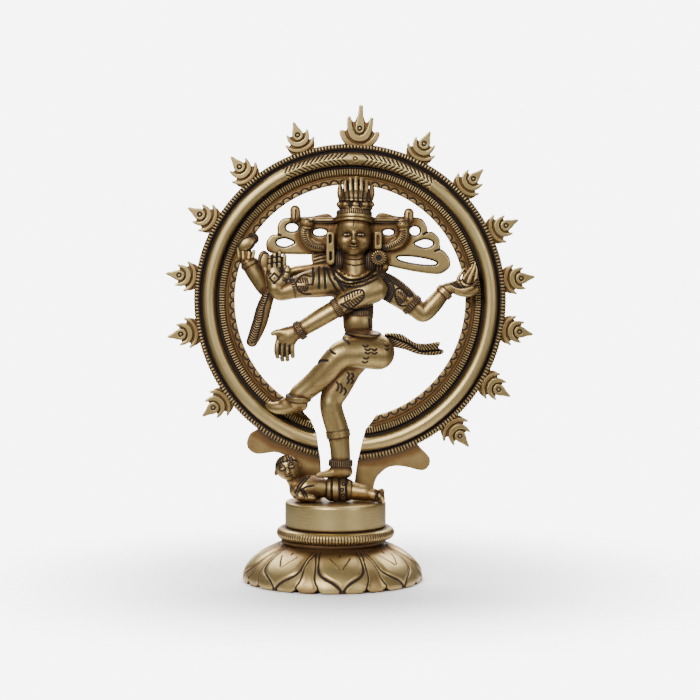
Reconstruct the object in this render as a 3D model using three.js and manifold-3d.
// A cast brass dancing figure inside a flame arch, standing on a lotus base.
//
// Frame: millimetres, +Z up. The figure faces -Y, so its own right is -X and its own left is +X.
// The origin lies on the table plane, below the centre of the arch. The base stands a little to
// the figure's right of that, because arch and figure lean to the left as they rise.
import * as THREE from "three";
import { mergeVertices } from "three/addons/utils/BufferGeometryUtils.js";
import Module from "manifold-3d";

const wasm = await Module();
wasm.setup();

// ---------------------------------------------------------------- driving dimensions

const GAP = 0.3; // braze-line clearance between neighbouring castings
const LIMB_SIDES = 8;
const FINE_SIDES = 6; // for limbs thinner than FINE_RADIUS
const FINE_RADIUS = 3;
const DISC_SIDES = 12;
const CAP_STEPS = 2;
const BASE_SEGMENTS = 32;

const BASE_X = -8.75; // axis of the lotus base and its tie bolt
const PLINTH_X = -7.3; // axis of the collar and the plinth drum
const LOTUS_TOP = 20.9;
const COLLAR_BOTTOM = LOTUS_TOP + GAP;
const COLLAR_TOP = 26.9;
const COLLAR_RADIUS = 29.7;
const DRUM_BOTTOM = COLLAR_TOP + GAP;
const DRUM_TOP = 39.9;
const DRUM_RADIUS = 25.4;
const BOLT_RADIUS = 3;
const BOLT_HOLE = BOLT_RADIUS + GAP;
const BOLT_BOTTOM = 7;
const BOLT_TOP = 35.5;
const CAVITY_TOP = 16;
const WASHER_TOP = CAVITY_TOP - GAP;
const WASHER_BOTTOM = WASHER_TOP - 1.2;
const NUT_TOP = WASHER_BOTTOM - GAP;
const NUT_BOTTOM = NUT_TOP - 5;

const ARCH_CENTRE = new THREE.Vector3(0, 0, 140.75);
const ARCH_INNER = 58.2;
const ARCH_OUTER = 78.7;
const ARCH_BACK = 9;
const ARCH_DROOP = 1.03; // the lower half of the arch is a little taller than round
const ARCH_SEGMENTS = 60;
const FOOT_FRONT = 5.2;
const FOOT_BACK = 8.8;

const FLAME_FRONT = 4.6;
const FLAME_BACK = 7.6;
const FLAME_ANGLES = [
  86.6, 64, 44.6, 26.2, 7.5, -10.6, -30.8, -49.9, 217.7, 191.4, 171.4, 149.7, 129.9, 108.1,
];

const FAN_FRONT = -1.4; // the flying hair is a thin pierced plate
const FAN_BACK = 1.8;

// Places on the body, all [x, y, z].
const HIP_RAISED = [14, -4, 115];
const KNEE_RAISED = [-6.5, -12, 114.5];
const ANKLE_RAISED = [-25.2, -7.2, 93.6];
const HIP_STANDING = [3.5, -3, 111];
const THIGH_STANDING = [-4.6, -4.5, 101.5];
const KNEE_STANDING = [-9.5, -5.5, 89.5];
const ANKLE_STANDING = [-5.2, -3.5, 59];
const NECK_BASE = [3, -3, 153];
const NECK_TOP = [2.4, -3.2, 164];
const HEAD = [2, -4, 173];
const WAIST = [4.6, -3, 128];
const ELBOW_DRUM = [-42, -0.5, 147.5];
const WRIST_DRUM = [-50, -1, 159];
const ELBOW_BLESSING = [-36, -8.5, 144.5];
const WRIST_BLESSING = [-35.8, -10, 149];
const SHOULDER_CROSSING = [14.5, -8, 147.5];
const WRIST_CROSSING = [-23.8, -10, 127.6];
const ELBOW_FLAME = [36.8, -1.5, 133.8];
const WRIST_FLAME = [47.2, -1.5, 144.8];

// ---------------------------------------------------------------- shapes

function toSolid(geometry) {
  const bare = geometry.clone();
  bare.deleteAttribute("normal");
  bare.deleteAttribute("uv");
  const merged = mergeVertices(bare, 1e-4);
  return new wasm.Manifold(new wasm.Mesh({
    numProp: 3,
    vertProperties: merged.attributes.position.array,
    triVerts: new Uint32Array(merged.index.array),
  }));
}

function join(...solids) {
  return solids.reduce((whole, solid) => whole.add(solid));
}

// A tapered rod with round ends from a to b.
function rod(a, b, radiusA, radiusB, grow = 0) {
  const start = new THREE.Vector3(...a);
  const along = new THREE.Vector3(...b).sub(start);
  const profile = [];
  const quarter = Math.PI / 2;
  for (let step = 0; step <= CAP_STEPS; step++) {
    const angle = quarter * (step / CAP_STEPS - 1);
    const radius = radiusA + grow;
    profile.push(new THREE.Vector2(step ? radius * Math.cos(angle) : 0, radius * Math.sin(angle)));
  }
  for (let step = 0; step <= CAP_STEPS; step++) {
    const angle = (quarter * step) / CAP_STEPS;
    const radius = radiusB + grow;
    const across = step < CAP_STEPS ? radius * Math.cos(angle) : 0;
    profile.push(new THREE.Vector2(across, along.length() + radius * Math.sin(angle)));
  }
  const sides = Math.max(radiusA, radiusB) < FINE_RADIUS ? FINE_SIDES : LIMB_SIDES;
  const geometry = new THREE.LatheGeometry(profile, sides);
  const up = new THREE.Vector3(0, 1, 0);
  const turn = new THREE.Quaternion().setFromUnitVectors(up, along.clone().normalize());
  geometry.applyQuaternion(turn);
  geometry.translate(start.x, start.y, start.z);
  return toSolid(geometry);
}

// Rods end to end through points given as [x, y, z, radius].
function limb(points, grow = 0) {
  const rods = [];
  for (let i = 1; i < points.length; i++) {
    const [ax, ay, az, ar] = points[i - 1];
    const [bx, by, bz, br] = points[i];
    rods.push(rod([ax, ay, az], [bx, by, bz], ar, br, grow));
  }
  return join(...rods);
}

// An ellipsoid, turned about Y by an angle in degrees (positive lowers its +X end).
function blob(centre, radii, turn = 0, grow = 0) {
  const geometry = new THREE.SphereGeometry(1, 10, 7);
  geometry.rotateX(Math.PI / 2);
  geometry.scale(radii[0] + grow, radii[1] + grow, radii[2] + grow);
  geometry.rotateY(THREE.MathUtils.degToRad(turn));
  geometry.translate(...centre);
  return toSolid(geometry);
}

// A bevelled disc across a limb. Its neighbours cut it into a ring.
function disc(centre, direction, radius, height, grow = 0) {
  const half = height / 2 + grow;
  const outer = radius + grow;
  const bevel = height * 0.3;
  const profile = [[0, -half], [outer - bevel, -half], [outer, bevel - half], [outer, half - bevel],
    [outer - bevel, half], [0, half]];
  const geometry = new THREE.LatheGeometry(profile.map(([r, y]) => new THREE.Vector2(r, y)), DISC_SIDES);
  const axis = new THREE.Vector3(...direction).normalize();
  geometry.applyQuaternion(new THREE.Quaternion().setFromUnitVectors(new THREE.Vector3(0, 1, 0), axis));
  geometry.translate(...centre);
  return toSolid(geometry);
}

// A solid of revolution about a vertical axis at x. The profile is a list of [radius, z].
function turned(profile, x, segments = BASE_SEGMENTS) {
  const geometry = new THREE.LatheGeometry(profile.map(([r, z]) => new THREE.Vector2(r, z)), segments);
  geometry.rotateX(Math.PI / 2);
  geometry.translate(x, 0, 0);
  return toSolid(geometry);
}

// A flat plate standing upright: an outline in X and Z between two depths.
function plate(shape, front, back) {
  const geometry = new THREE.ExtrudeGeometry(shape, { depth: back - front, bevelEnabled: false });
  geometry.rotateX(Math.PI / 2);
  geometry.translate(0, back, 0);
  return toSolid(geometry);
}

// An outline that runs counter-clockwise, as one with holes has to.
function outline(points) {
  const corners = points.map(([x, z]) => new THREE.Vector2(x, z));
  if (THREE.ShapeUtils.isClockWise(corners)) corners.reverse();
  return new THREE.Shape(corners);
}

function ellipseHole(shape, x, z, radiusX, radiusZ, turn) {
  const middle = new THREE.Vector2(x, z);
  const corners = arc(x, z, radiusX, radiusZ, 0, -324, 9).map(([u, v]) => new THREE.Vector2(u, v));
  corners.forEach((corner) => corner.rotateAround(middle, THREE.MathUtils.degToRad(turn)));
  shape.holes.push(new THREE.Path(corners));
}

function uprightBox(low, high) {
  const geometry = new THREE.BoxGeometry(high[0] - low[0], high[1] - low[1], high[2] - low[2]);
  geometry.translate((low[0] + high[0]) / 2, (low[1] + high[1]) / 2, (low[2] + high[2]) / 2);
  return toSolid(geometry);
}

function arc(centreR, centreZ, radiusR, radiusZ, from, to, steps) {
  const points = [];
  for (let step = 0; step <= steps; step++) {
    const angle = THREE.MathUtils.degToRad(from + ((to - from) * step) / steps);
    points.push([centreR + radiusR * Math.cos(angle), centreZ + radiusZ * Math.sin(angle)]);
  }
  return points;
}

// An arc drawn in towards its chord, so that the dome slopes more than a round one.
function shoulder(centreR, centreZ, radiusR, radiusZ, from, to, steps) {
  const slope = 1.18;
  return arc(0, 0, 1, 1, from, to, steps).map(([r, z]) => [
    centreR + radiusR * Math.abs(r) ** slope, centreZ + radiusZ * Math.abs(z) ** slope,
  ]);
}

function closed(profile) {
  return [...profile, profile[0]];
}

// ---------------------------------------------------------------- base

function lotusBase() {
  const wall = 3.2;
  const outside = shoulder(20, 1.5, 25.4, 17.6, 0, 78, 8);
  const inside = shoulder(20, 1.5, 25.4 - wall, CAVITY_TOP - 1.5, 84, 0, 5);
  return turned(closed([
    [41.8, 0], [44.2, 0],
    ...outside,
    [26, LOTUS_TOP], [BOLT_HOLE, LOTUS_TOP], [BOLT_HOLE, CAVITY_TOP],
    ...inside,
  ]), BASE_X, 36);
}

function ribbedCollar() {
  const middle = (COLLAR_BOTTOM + COLLAR_TOP) / 2;
  const half = (COLLAR_TOP - COLLAR_BOTTOM) / 2;
  return turned(closed([
    ...arc(COLLAR_RADIUS - 2.9, middle, 2.9, half, -90, 90, 4),
    [5.5, COLLAR_TOP], [5.5, COLLAR_BOTTOM],
  ]), PLINTH_X);
}

function plinthDrum() {
  const edge = 1.2;
  const body = turned([
    [0, DRUM_BOTTOM], [DRUM_RADIUS, DRUM_BOTTOM],
    ...arc(DRUM_RADIUS - edge, DRUM_TOP - edge, edge, edge, 0, 90, 3),
    [0, DRUM_TOP],
  ], PLINTH_X);
  return body.subtract(turned([
    [0, DRUM_BOTTOM - 1], [BOLT_HOLE, DRUM_BOTTOM - 1], [BOLT_HOLE, BOLT_TOP + 0.5], [0, BOLT_TOP + 0.5],
  ], BASE_X, 16));
}

function tieBolt() {
  return turned([[0, BOLT_BOTTOM], [BOLT_RADIUS - 0.5, BOLT_BOTTOM], [BOLT_RADIUS, BOLT_BOTTOM + 0.5],
    [BOLT_RADIUS, BOLT_TOP], [0, BOLT_TOP]], BASE_X, 16);
}

// A washer, or with six sides a nut, on the tie bolt.
function onBolt(outer, bottom, top, sides) {
  const blank = turned([[0, bottom], [outer, bottom], [outer, top], [0, top]], BASE_X, sides);
  return blank.subtract(turned([[0, 0], [BOLT_HOLE, 0], [BOLT_HOLE, LOTUS_TOP], [0, LOTUS_TOP]], BASE_X, 16));
}

// ---------------------------------------------------------------- arch

// The open gap at the bottom of the arch, where the legs pass.
const ARCH_GAP = [[-14, 36], [-14.4, 50], [-15.3, 63.5], [-17, 75.2], [-20, 82], [-26, 88], [15, 88],
  [10.8, 80.5], [7.8, 76.9], [6, 70.2], [4.4, 63.6], [2.5, 50], [2, 36]];

function drooped(geometry) {
  geometry.translate(ARCH_CENTRE.x, ARCH_CENTRE.y, ARCH_CENTRE.z);
  const points = geometry.attributes.position;
  for (let index = 0; index < points.count; index++) {
    const rise = points.getZ(index) - ARCH_CENTRE.z;
    points.setZ(index, ARCH_CENTRE.z + (rise < 0 ? rise * ARCH_DROOP : rise));
  }
  return toSolid(geometry);
}

function archRing() {
  const section = [
    [ARCH_INNER, 5.5], [61.2, 5.5], [61.5, 4.2], [66, 4.2], [67.3, 5], [68.5, 2.2], [71, 0.8], [73.5, 2.2],
    [74.7, 4.8], [ARCH_OUTER, 4.6], [ARCH_OUTER, ARCH_BACK], [ARCH_INNER, ARCH_BACK],
  ];
  const points = closed(section).map(([r, y]) => new THREE.Vector2(r, y));
  const geometry = new THREE.LatheGeometry(points, ARCH_SEGMENTS);
  return drooped(geometry).subtract(plate(outline(ARCH_GAP), -5, 15));
}

// The disc that the arch ring covers, used to hollow the tops of its two feet.
function archDisc() {
  const profile = [[0, 0], [ARCH_OUTER + GAP, 0], [ARCH_OUTER + GAP, 12], [0, 12]];
  const geometry = new THREE.LatheGeometry(profile.map(([r, y]) => new THREE.Vector2(r, y)), ARCH_SEGMENTS);
  return drooped(geometry);
}

function archFoot(points) {
  const wanted = plate(outline(points), FOOT_FRONT, FOOT_BACK);
  return wanted.subtract(archDisc()).subtract(uprightBox([-80, -20, 0], [80, 20, DRUM_TOP + GAP]));
}

const FOOT_RIGHT = [
  [-46.2, 75], [-50.4, 73.2], [-52.2, 68.8], [-51.2, 65.2], [-47.6, 63], [-43, 63.2], [-38.1, 63.8],
  [-33.6, 62.4], [-30.2, 59], [-27.6, 52], [-26.8, 38], [-14.2, 38], [-14.4, 50], [-15.3, 63.5],
  [-17, 76], [-40, 80],
];
const FOOT_LEFT = [
  [34.6, 67.2], [39, 62.6], [40.6, 59.8], [39.8, 56.6], [37.2, 54.6], [33.3, 55], [29.8, 56],
  [24.2, 56.8], [19.3, 56], [15.8, 53.4], [12.6, 48], [11.7, 38], [2, 38], [2.5, 50],
  [4.6, 63.7], [7, 76], [30, 76],
];

// One half of a flame: [across, outwards] from the arch's rim to the tip.
const TOP_FLAME = [
  [5, 0.3], [9.2, 3.2], [9.8, 6.3], [6.8, 6.4], [6.6, 13.1], [3, 10], [1.1, 19.3], [0, 19.5],
];
const SIDE_FLAME = [[4.2, 0.3], [7.3, 3], [7.5, 4.9], [5.3, 5.2], [5.3, 9.6], [2.7, 9], [0, 15]];

function archFlame(angle, half) {
  const mirrored = half.slice(0, -1).reverse().map(([u, v]) => [-u, v]);
  const points = [...half, ...mirrored].map(([u, v]) => new THREE.Vector2(u, v));
  const geometry = new THREE.ExtrudeGeometry(new THREE.Shape(points), {
    depth: FLAME_BACK - FLAME_FRONT, bevelEnabled: false,
  });
  geometry.rotateX(Math.PI / 2);
  geometry.translate(0, FLAME_BACK, ARCH_OUTER);
  geometry.rotateY(THREE.MathUtils.degToRad(90 - angle));
  return drooped(geometry);
}

// ---------------------------------------------------------------- dwarf underfoot

const drumClearance = () => uprightBox([-60, -40, 0], [60, 40, DRUM_TOP + GAP]);

const dwarfBody = (grow = 0) => limb([[-25, -4, 46, 5], [-18, -3.5, 46.5, 5.6], [-12, -3.5, 46.5, 5]], grow)
  .add(limb([[-26, -7, 45.5, 2.6], [-22, -9, 42.5, 2.2]], grow));
const dwarfHead = (grow = 0) => blob([-31.4, -5, 57.3], [6.3, 6.2, 6.5], 0, grow);
const dwarfSkirt = (grow = 0) => rod([-9.2, -3.5, 46.6], [-2, -3.5, 46], 5.8, 5.6, grow);
const dwarfLegs = (grow = 0) => limb([[2, -4, 44.9, 4.4], [9, -6, 44.2, 3.5], [14, -8.5, 42.8, 2.6]], grow)
  .add(blob([15, -10.5, 44.2], [2.6, 3.4, 4.2], 0, grow));

// ---------------------------------------------------------------- legs and hips

const hips = (grow = 0) => join(
  blob([8.5, -4, 117], [12.3, 8.3, 9.3], 0, grow),
  blob([13.2, -3.5, 112.5], [8, 7.5, 8], 0, grow),
);
const standingLeg = (grow = 0) => limb([
  [...HIP_STANDING, 7.4], [...THIGH_STANDING, 7.2], [...KNEE_STANDING, 5.9],
  [-6.6, -4.2, 76, 5.6], [-5.3, -3.8, 66, 4.9], [...ANKLE_STANDING, 4.7],
], grow);
const standingFoot = (grow = 0) => limb([
  [-1.6, -2.8, 55.2, 2.8], [-5, -3.8, 55.6, 3], [-12, -6, 54.3, 2.2], [-16, -7.5, 53.8, 1.4],
], grow);
const shinBand = (grow = 0) => disc([-6.4, -4.1, 74.5], [-0.06, 0, 1], 6.9, 4, grow);
const standingAnklet = (grow = 0) => disc([-5.2, -3.6, 60.2], [0, 0, 1], 6.3, 3.4, grow);
const raisedLeg = (grow = 0) => limb([
  [...HIP_RAISED, 8.4], [2, -9, 115.6, 7.9], [...KNEE_RAISED, 6.5],
  [-13.5, -10, 105.4, 5.8], [-20, -8.6, 98.4, 5.4], [...ANKLE_RAISED, 4.7],
], grow);
const raisedAnklet = (grow = 0) => disc([-25.8, -7.1, 92.6], [-0.06, 0.12, -1], 6.4, 3, grow);
const raisedFoot = (grow = 0) => limb([
  [-24.2, -6.3, 88.9, 3.1], [-30, -5.9, 88.2, 3.3], [-36, -5.4, 87.6, 2.9], [-41, -4.8, 88.4, 1.8],
], grow);

// ---------------------------------------------------------------- trunk and head

const torso = (grow = 0) => join(
  blob([1.5, -3, 147.5], [14, 6.8, 9.4], 0, grow),
  rod([-11.5, -2.2, 151.5], [14.5, -2.2, 150.5], 5.4, 5.4, grow),
  rod([3, -3, 141], WAIST, 7.3, 6.8, grow),
  rod(NECK_BASE, NECK_TOP, 5.2, 4.7, grow),
);
const waistBelt = (grow = 0) => disc([6, -3.4, 126], [0.12, 0, 1], 10, 3.8, grow);
const head = (grow = 0) => join(
  blob(HEAD, [9.4, 8.8, 11], 0, grow),
  blob([2.2, -6, 167.5], [6.2, 6, 6], 0, grow),
);
const headband = (grow = 0) => disc([2.4, -4, 182.6], [0.03, 0, 1], 8.6, 3.2, grow);

function headdress() {
  const leaves = outline([
    [-5, 184.8], [-6, 190.5], [-4.9, 196.2], [-1.4, 201], [2.8, 203], [8.2, 200.8], [11.2, 197.4],
    [12, 189.5], [10.8, 184.8],
  ]);
  return plate(leaves, -6, -1.5).add(disc([2.8, -3.8, 186.3], [0.03, 0, 1], 8, 3.4));
}

const earDropRight = (grow = 0) => rod([-9.8, -5, 173], [-9.2, -5, 160.8], 2.4, 2.6, grow);
const earRosetteLeft = (grow = 0) => limb([[13.8, -4.5, 173.5, 1.9], [14.4, -5, 167.5, 1.9]], grow)
  .add(disc([14.6, -5.6, 162.5], [0, 1, 0], 3.9, 3, grow));

function hairFan(points, holes) {
  const shape = outline(points);
  for (const hole of holes) ellipseHole(shape, ...hole);
  return plate(shape, FAN_FRONT, FAN_BACK);
}

const hairFanRight = () => hairFan(
  [[-9, 183.2], [-20, 182.9], [-30.2, 182.4], [-34.4, 181.3], [-36.4, 178], [-36.7, 174.3], [-39.4, 173.6],
    [-41.8, 170.7], [-42, 167.6], [-40.6, 165], [-37, 164.2], [-12, 164.4], [-9, 165.5]],
  [[-29, 177.4, 2.9, 1.9, 0], [-32.5, 169.9, 4.2, 1.9, 0], [-15, 175, 3.2, 1.6, 0]],
);
const hairFanLeft = () => hairFan(
  [[13, 183.2], [24, 183], [33, 182.5], [36.4, 181.4], [38.5, 178], [39.1, 175.9], [42, 174.9], [44.8, 171.6],
    [45.3, 167.6], [48.2, 164.6], [50.2, 160.8], [50, 157.6], [46.6, 154.6], [42.7, 154], [33, 155.2],
    [20.5, 157.8], [13, 160]],
  [[32.4, 175.7, 2.4, 2.1, 0], [37, 169.4, 4.4, 1.9, 0], [19.2, 175, 2.5, 1.3, 0],
    [33.6, 160.9, 9.8, 1.4, -8]],
);

const snakeRight = (grow = 0) => limb([
  [-21.8, -3, 179.3, 2.9], [-22.5, -3, 174.6, 2.5], [-20.4, -3, 169.5, 2.5], [-14, -3, 167.3, 2.2],
], grow).add(rod([-20, -2.4, 181.2], [-9, -2.4, 181], 1.3, 1.3, grow));
const snakeLeft = (grow = 0) => limb([
  [26.3, -3, 178.9, 3.1], [26.2, -3, 173.4, 2.7], [23.4, -3, 169.6, 2.4], [18, -3, 167.3, 2],
], grow).add(rod([24.5, -2.4, 181.2], [13.5, -2.4, 181], 1.3, 1.3, grow));
const sashTail = () => plate(outline([
  [17, 124.4], [22, 124.7], [26, 124], [33, 119.8], [38.6, 119.5], [45, 120.4], [46.8, 115.4], [45.4, 113.8],
  [40, 113.4], [34, 114], [28, 116.2], [22.6, 117.5], [19, 118.6],
]), -4.6, -0.8);

// ---------------------------------------------------------------- arms

const drumArm = (grow = 0) => limb([
  [-11, -0.4, 157, 2.6], [-28, -0.4, 156.4, 2.6], [...ELBOW_DRUM, 4.1], [...WRIST_DRUM, 4],
], grow);
const drumHand = (grow = 0) => limb([[-51.2, -1.2, 162.4, 3], [-52.4, -0.8, 167.4, 3.1]], grow);
const handDrum = (grow = 0) => blob([-51.6, -3.4, 169.2], [5.1, 2.7, 3.9], -32, grow);
const blessingArm = (grow = 0) => limb([
  [-12, -4, 150.8, 6.4], [-21, -6, 149.4, 6.4], [...ELBOW_BLESSING, 4.2], [...WRIST_BLESSING, 4],
], grow);
const blessingHand = (grow = 0) => join(
  blob([-37.2, -11, 156.2], [5.2, 2.6, 5.6], 0, grow),
  limb([[-39.2, -11.2, 159.5, 2.2], [-39, -11.6, 164, 1.7]], grow),
  limb([[-36, -11.2, 159.8, 2.3], [-36.2, -11.6, 164.2, 1.9]], grow),
  limb([[-33, -11.6, 153, 2], [-30.4, -12.2, 158.4, 1.6]], grow),
);
const armCobra = (grow = 0) => limb([
  [-41.2, -4.6, 145.4, 3], [-43.6, -4.2, 138, 3.7], [-45.4, -3.8, 129, 3.5], [-47.6, -3.6, 121.6, 2.8],
], grow);
const crossingArm = (grow = 0) => limb([
  [...SHOULDER_CROSSING, 6.8], [1, -9.6, 143, 5.4], [-6.4, -10, 137.9, 4.8], [...WRIST_CROSSING, 4],
], grow);
const crossingBracelet = (grow = 0) => disc([-24.6, -10, 127], [-0.86, 0, -0.5], 5.3, 2.8, grow);
const crossingHand = (grow = 0) => join(
  blob([-31, -10, 122.8], [5.8, 2.8, 4.8], 24, grow),
  limb([[-34, -10.4, 124.4, 1.8], [-38.4, -10.8, 124.8, 1.3]], grow),
  limb([[-34.5, -10, 120, 2], [-35.2, -10, 114.5, 1.6]], grow),
  limb([[-31, -10, 119.5, 2.2], [-31.6, -10, 112.6, 1.7]], grow),
);
const flameArm = (grow = 0) => limb([
  [18, -2, 148, 7], [27.5, -2, 141.6, 5.8], [...ELBOW_FLAME, 4.5], [...WRIST_FLAME, 3.7],
], grow);
const flameHand = (grow = 0) => limb([
  [49.8, -1.8, 146.6, 2.9], [56, -2.6, 145.6, 2.9], [62.6, -3, 146.8, 1.8],
], grow);
const handFlame = (grow = 0) => limb([
  [59.4, -2.4, 150.4, 3.6], [60.8, -2.4, 155, 2.6], [62.4, -2.2, 159.6, 0.9],
], grow);

// ---------------------------------------------------------------- assembly

// Each piece is [name, shape, pieces already placed that it is fitted round].
const FIGURE = [
  ["torso", torso, []],
  ["head", head, [torso]],
  ["headband", headband, [head]],
  ["headdress", headdress, [head, headband]],
  ["ear_drop_right", earDropRight, [head, torso]],
  ["ear_rosette_left", earRosetteLeft, [head, torso]],
  ["snake_right", snakeRight, [head, headband, earDropRight]],
  ["snake_left", snakeLeft, [head, headband, earRosetteLeft]],
  ["hips", hips, [torso]],
  ["waist_belt", waistBelt, [torso, hips]],
  ["standing_leg", standingLeg, [hips]],
  ["raised_leg", raisedLeg, [hips, standingLeg]],
  ["shin_band", shinBand, [standingLeg]],
  ["standing_foot", standingFoot, [standingLeg]],
  ["standing_anklet", standingAnklet, [standingLeg, standingFoot]],
  ["raised_foot", raisedFoot, [raisedLeg]],
  ["raised_anklet", raisedAnklet, [raisedLeg, raisedFoot]],
  ["sash_tail", sashTail, [hips, torso, waistBelt, raisedLeg]],
  ["crossing_arm", crossingArm, [torso]],
  ["crossing_bracelet", crossingBracelet, [crossingArm]],
  ["crossing_hand", crossingHand, [crossingArm, crossingBracelet]],
  ["blessing_arm", blessingArm, [torso, crossingArm]],
  ["blessing_hand", blessingHand, [blessingArm]],
  ["arm_cobra", armCobra, [blessingArm]],
  ["drum_arm", drumArm, [torso, blessingArm, armCobra, earDropRight]],
  ["drum_hand", drumHand, [drumArm]],
  ["hand_drum", handDrum, [drumHand]],
  ["flame_arm", flameArm, [torso, crossingArm]],
  ["flame_hand", flameHand, [flameArm]],
  ["hand_flame", handFlame, [flameHand]],
  ["hair_fan_right", hairFanRight, [head, headband, torso, earDropRight, snakeRight, blessingArm, drumArm]],
  ["hair_fan_left", hairFanLeft, [head, headband, torso, earRosetteLeft, snakeLeft, flameArm]],
];

const DWARF = [
  ["dwarf_skirt", dwarfSkirt, [standingFoot, drumClearance]],
  ["dwarf_body", dwarfBody, [standingFoot, dwarfSkirt, drumClearance]],
  ["dwarf_head", dwarfHead, [dwarfBody]],
  ["dwarf_legs", dwarfLegs, [dwarfSkirt, standingFoot, drumClearance]],
];

const POLISHED = { color: 0xb39a66, roughness: 0.38, metalness: 0.95 };
const AGED = { color: 0x8f7444, roughness: 0.5, metalness: 0.9 };
const STEEL = { color: 0x8c8c88, roughness: 0.45, metalness: 0.95 };

const group = new THREE.Group();

function place(name, solid, finish) {
  const bodies = solid.decompose().sort((a, b) => b.volume() - a.volume());
  const mesh = bodies[0].getMesh();
  const geometry = new THREE.BufferGeometry();
  geometry.setAttribute("position", new THREE.BufferAttribute(mesh.vertProperties, 3));
  geometry.setIndex(new THREE.BufferAttribute(mesh.triVerts, 1));
  const part = new THREE.Mesh(geometry, new THREE.MeshStandardMaterial(finish));
  part.name = name;
  group.add(part);
}

function fit(shape, neighbours) {
  return neighbours.reduce((solid, neighbour) => solid.subtract(neighbour(GAP)), shape());
}

place("lotus_base", lotusBase(), AGED);
place("ribbed_collar", ribbedCollar(), AGED);
place("plinth_drum", plinthDrum(), POLISHED);
place("tie_bolt", tieBolt(), STEEL);
place("tie_washer", onBolt(8, WASHER_BOTTOM, WASHER_TOP, 24), STEEL);
place("tie_nut", onBolt(5.8, NUT_BOTTOM, NUT_TOP, 6), STEEL);
place("arch_ring", archRing(), POLISHED);
place("arch_foot_right", archFoot(FOOT_RIGHT), AGED);
place("arch_foot_left", archFoot(FOOT_LEFT), AGED);
FLAME_ANGLES.forEach((angle, index) => {
  const name = `flame_${String(index + 1).padStart(2, "0")}`;
  place(name, archFlame(angle, index === 0 ? TOP_FLAME : SIDE_FLAME), POLISHED);
});
for (const [name, shape, neighbours] of [...FIGURE, ...DWARF]) place(name, fit(shape, neighbours), POLISHED);

export default group;
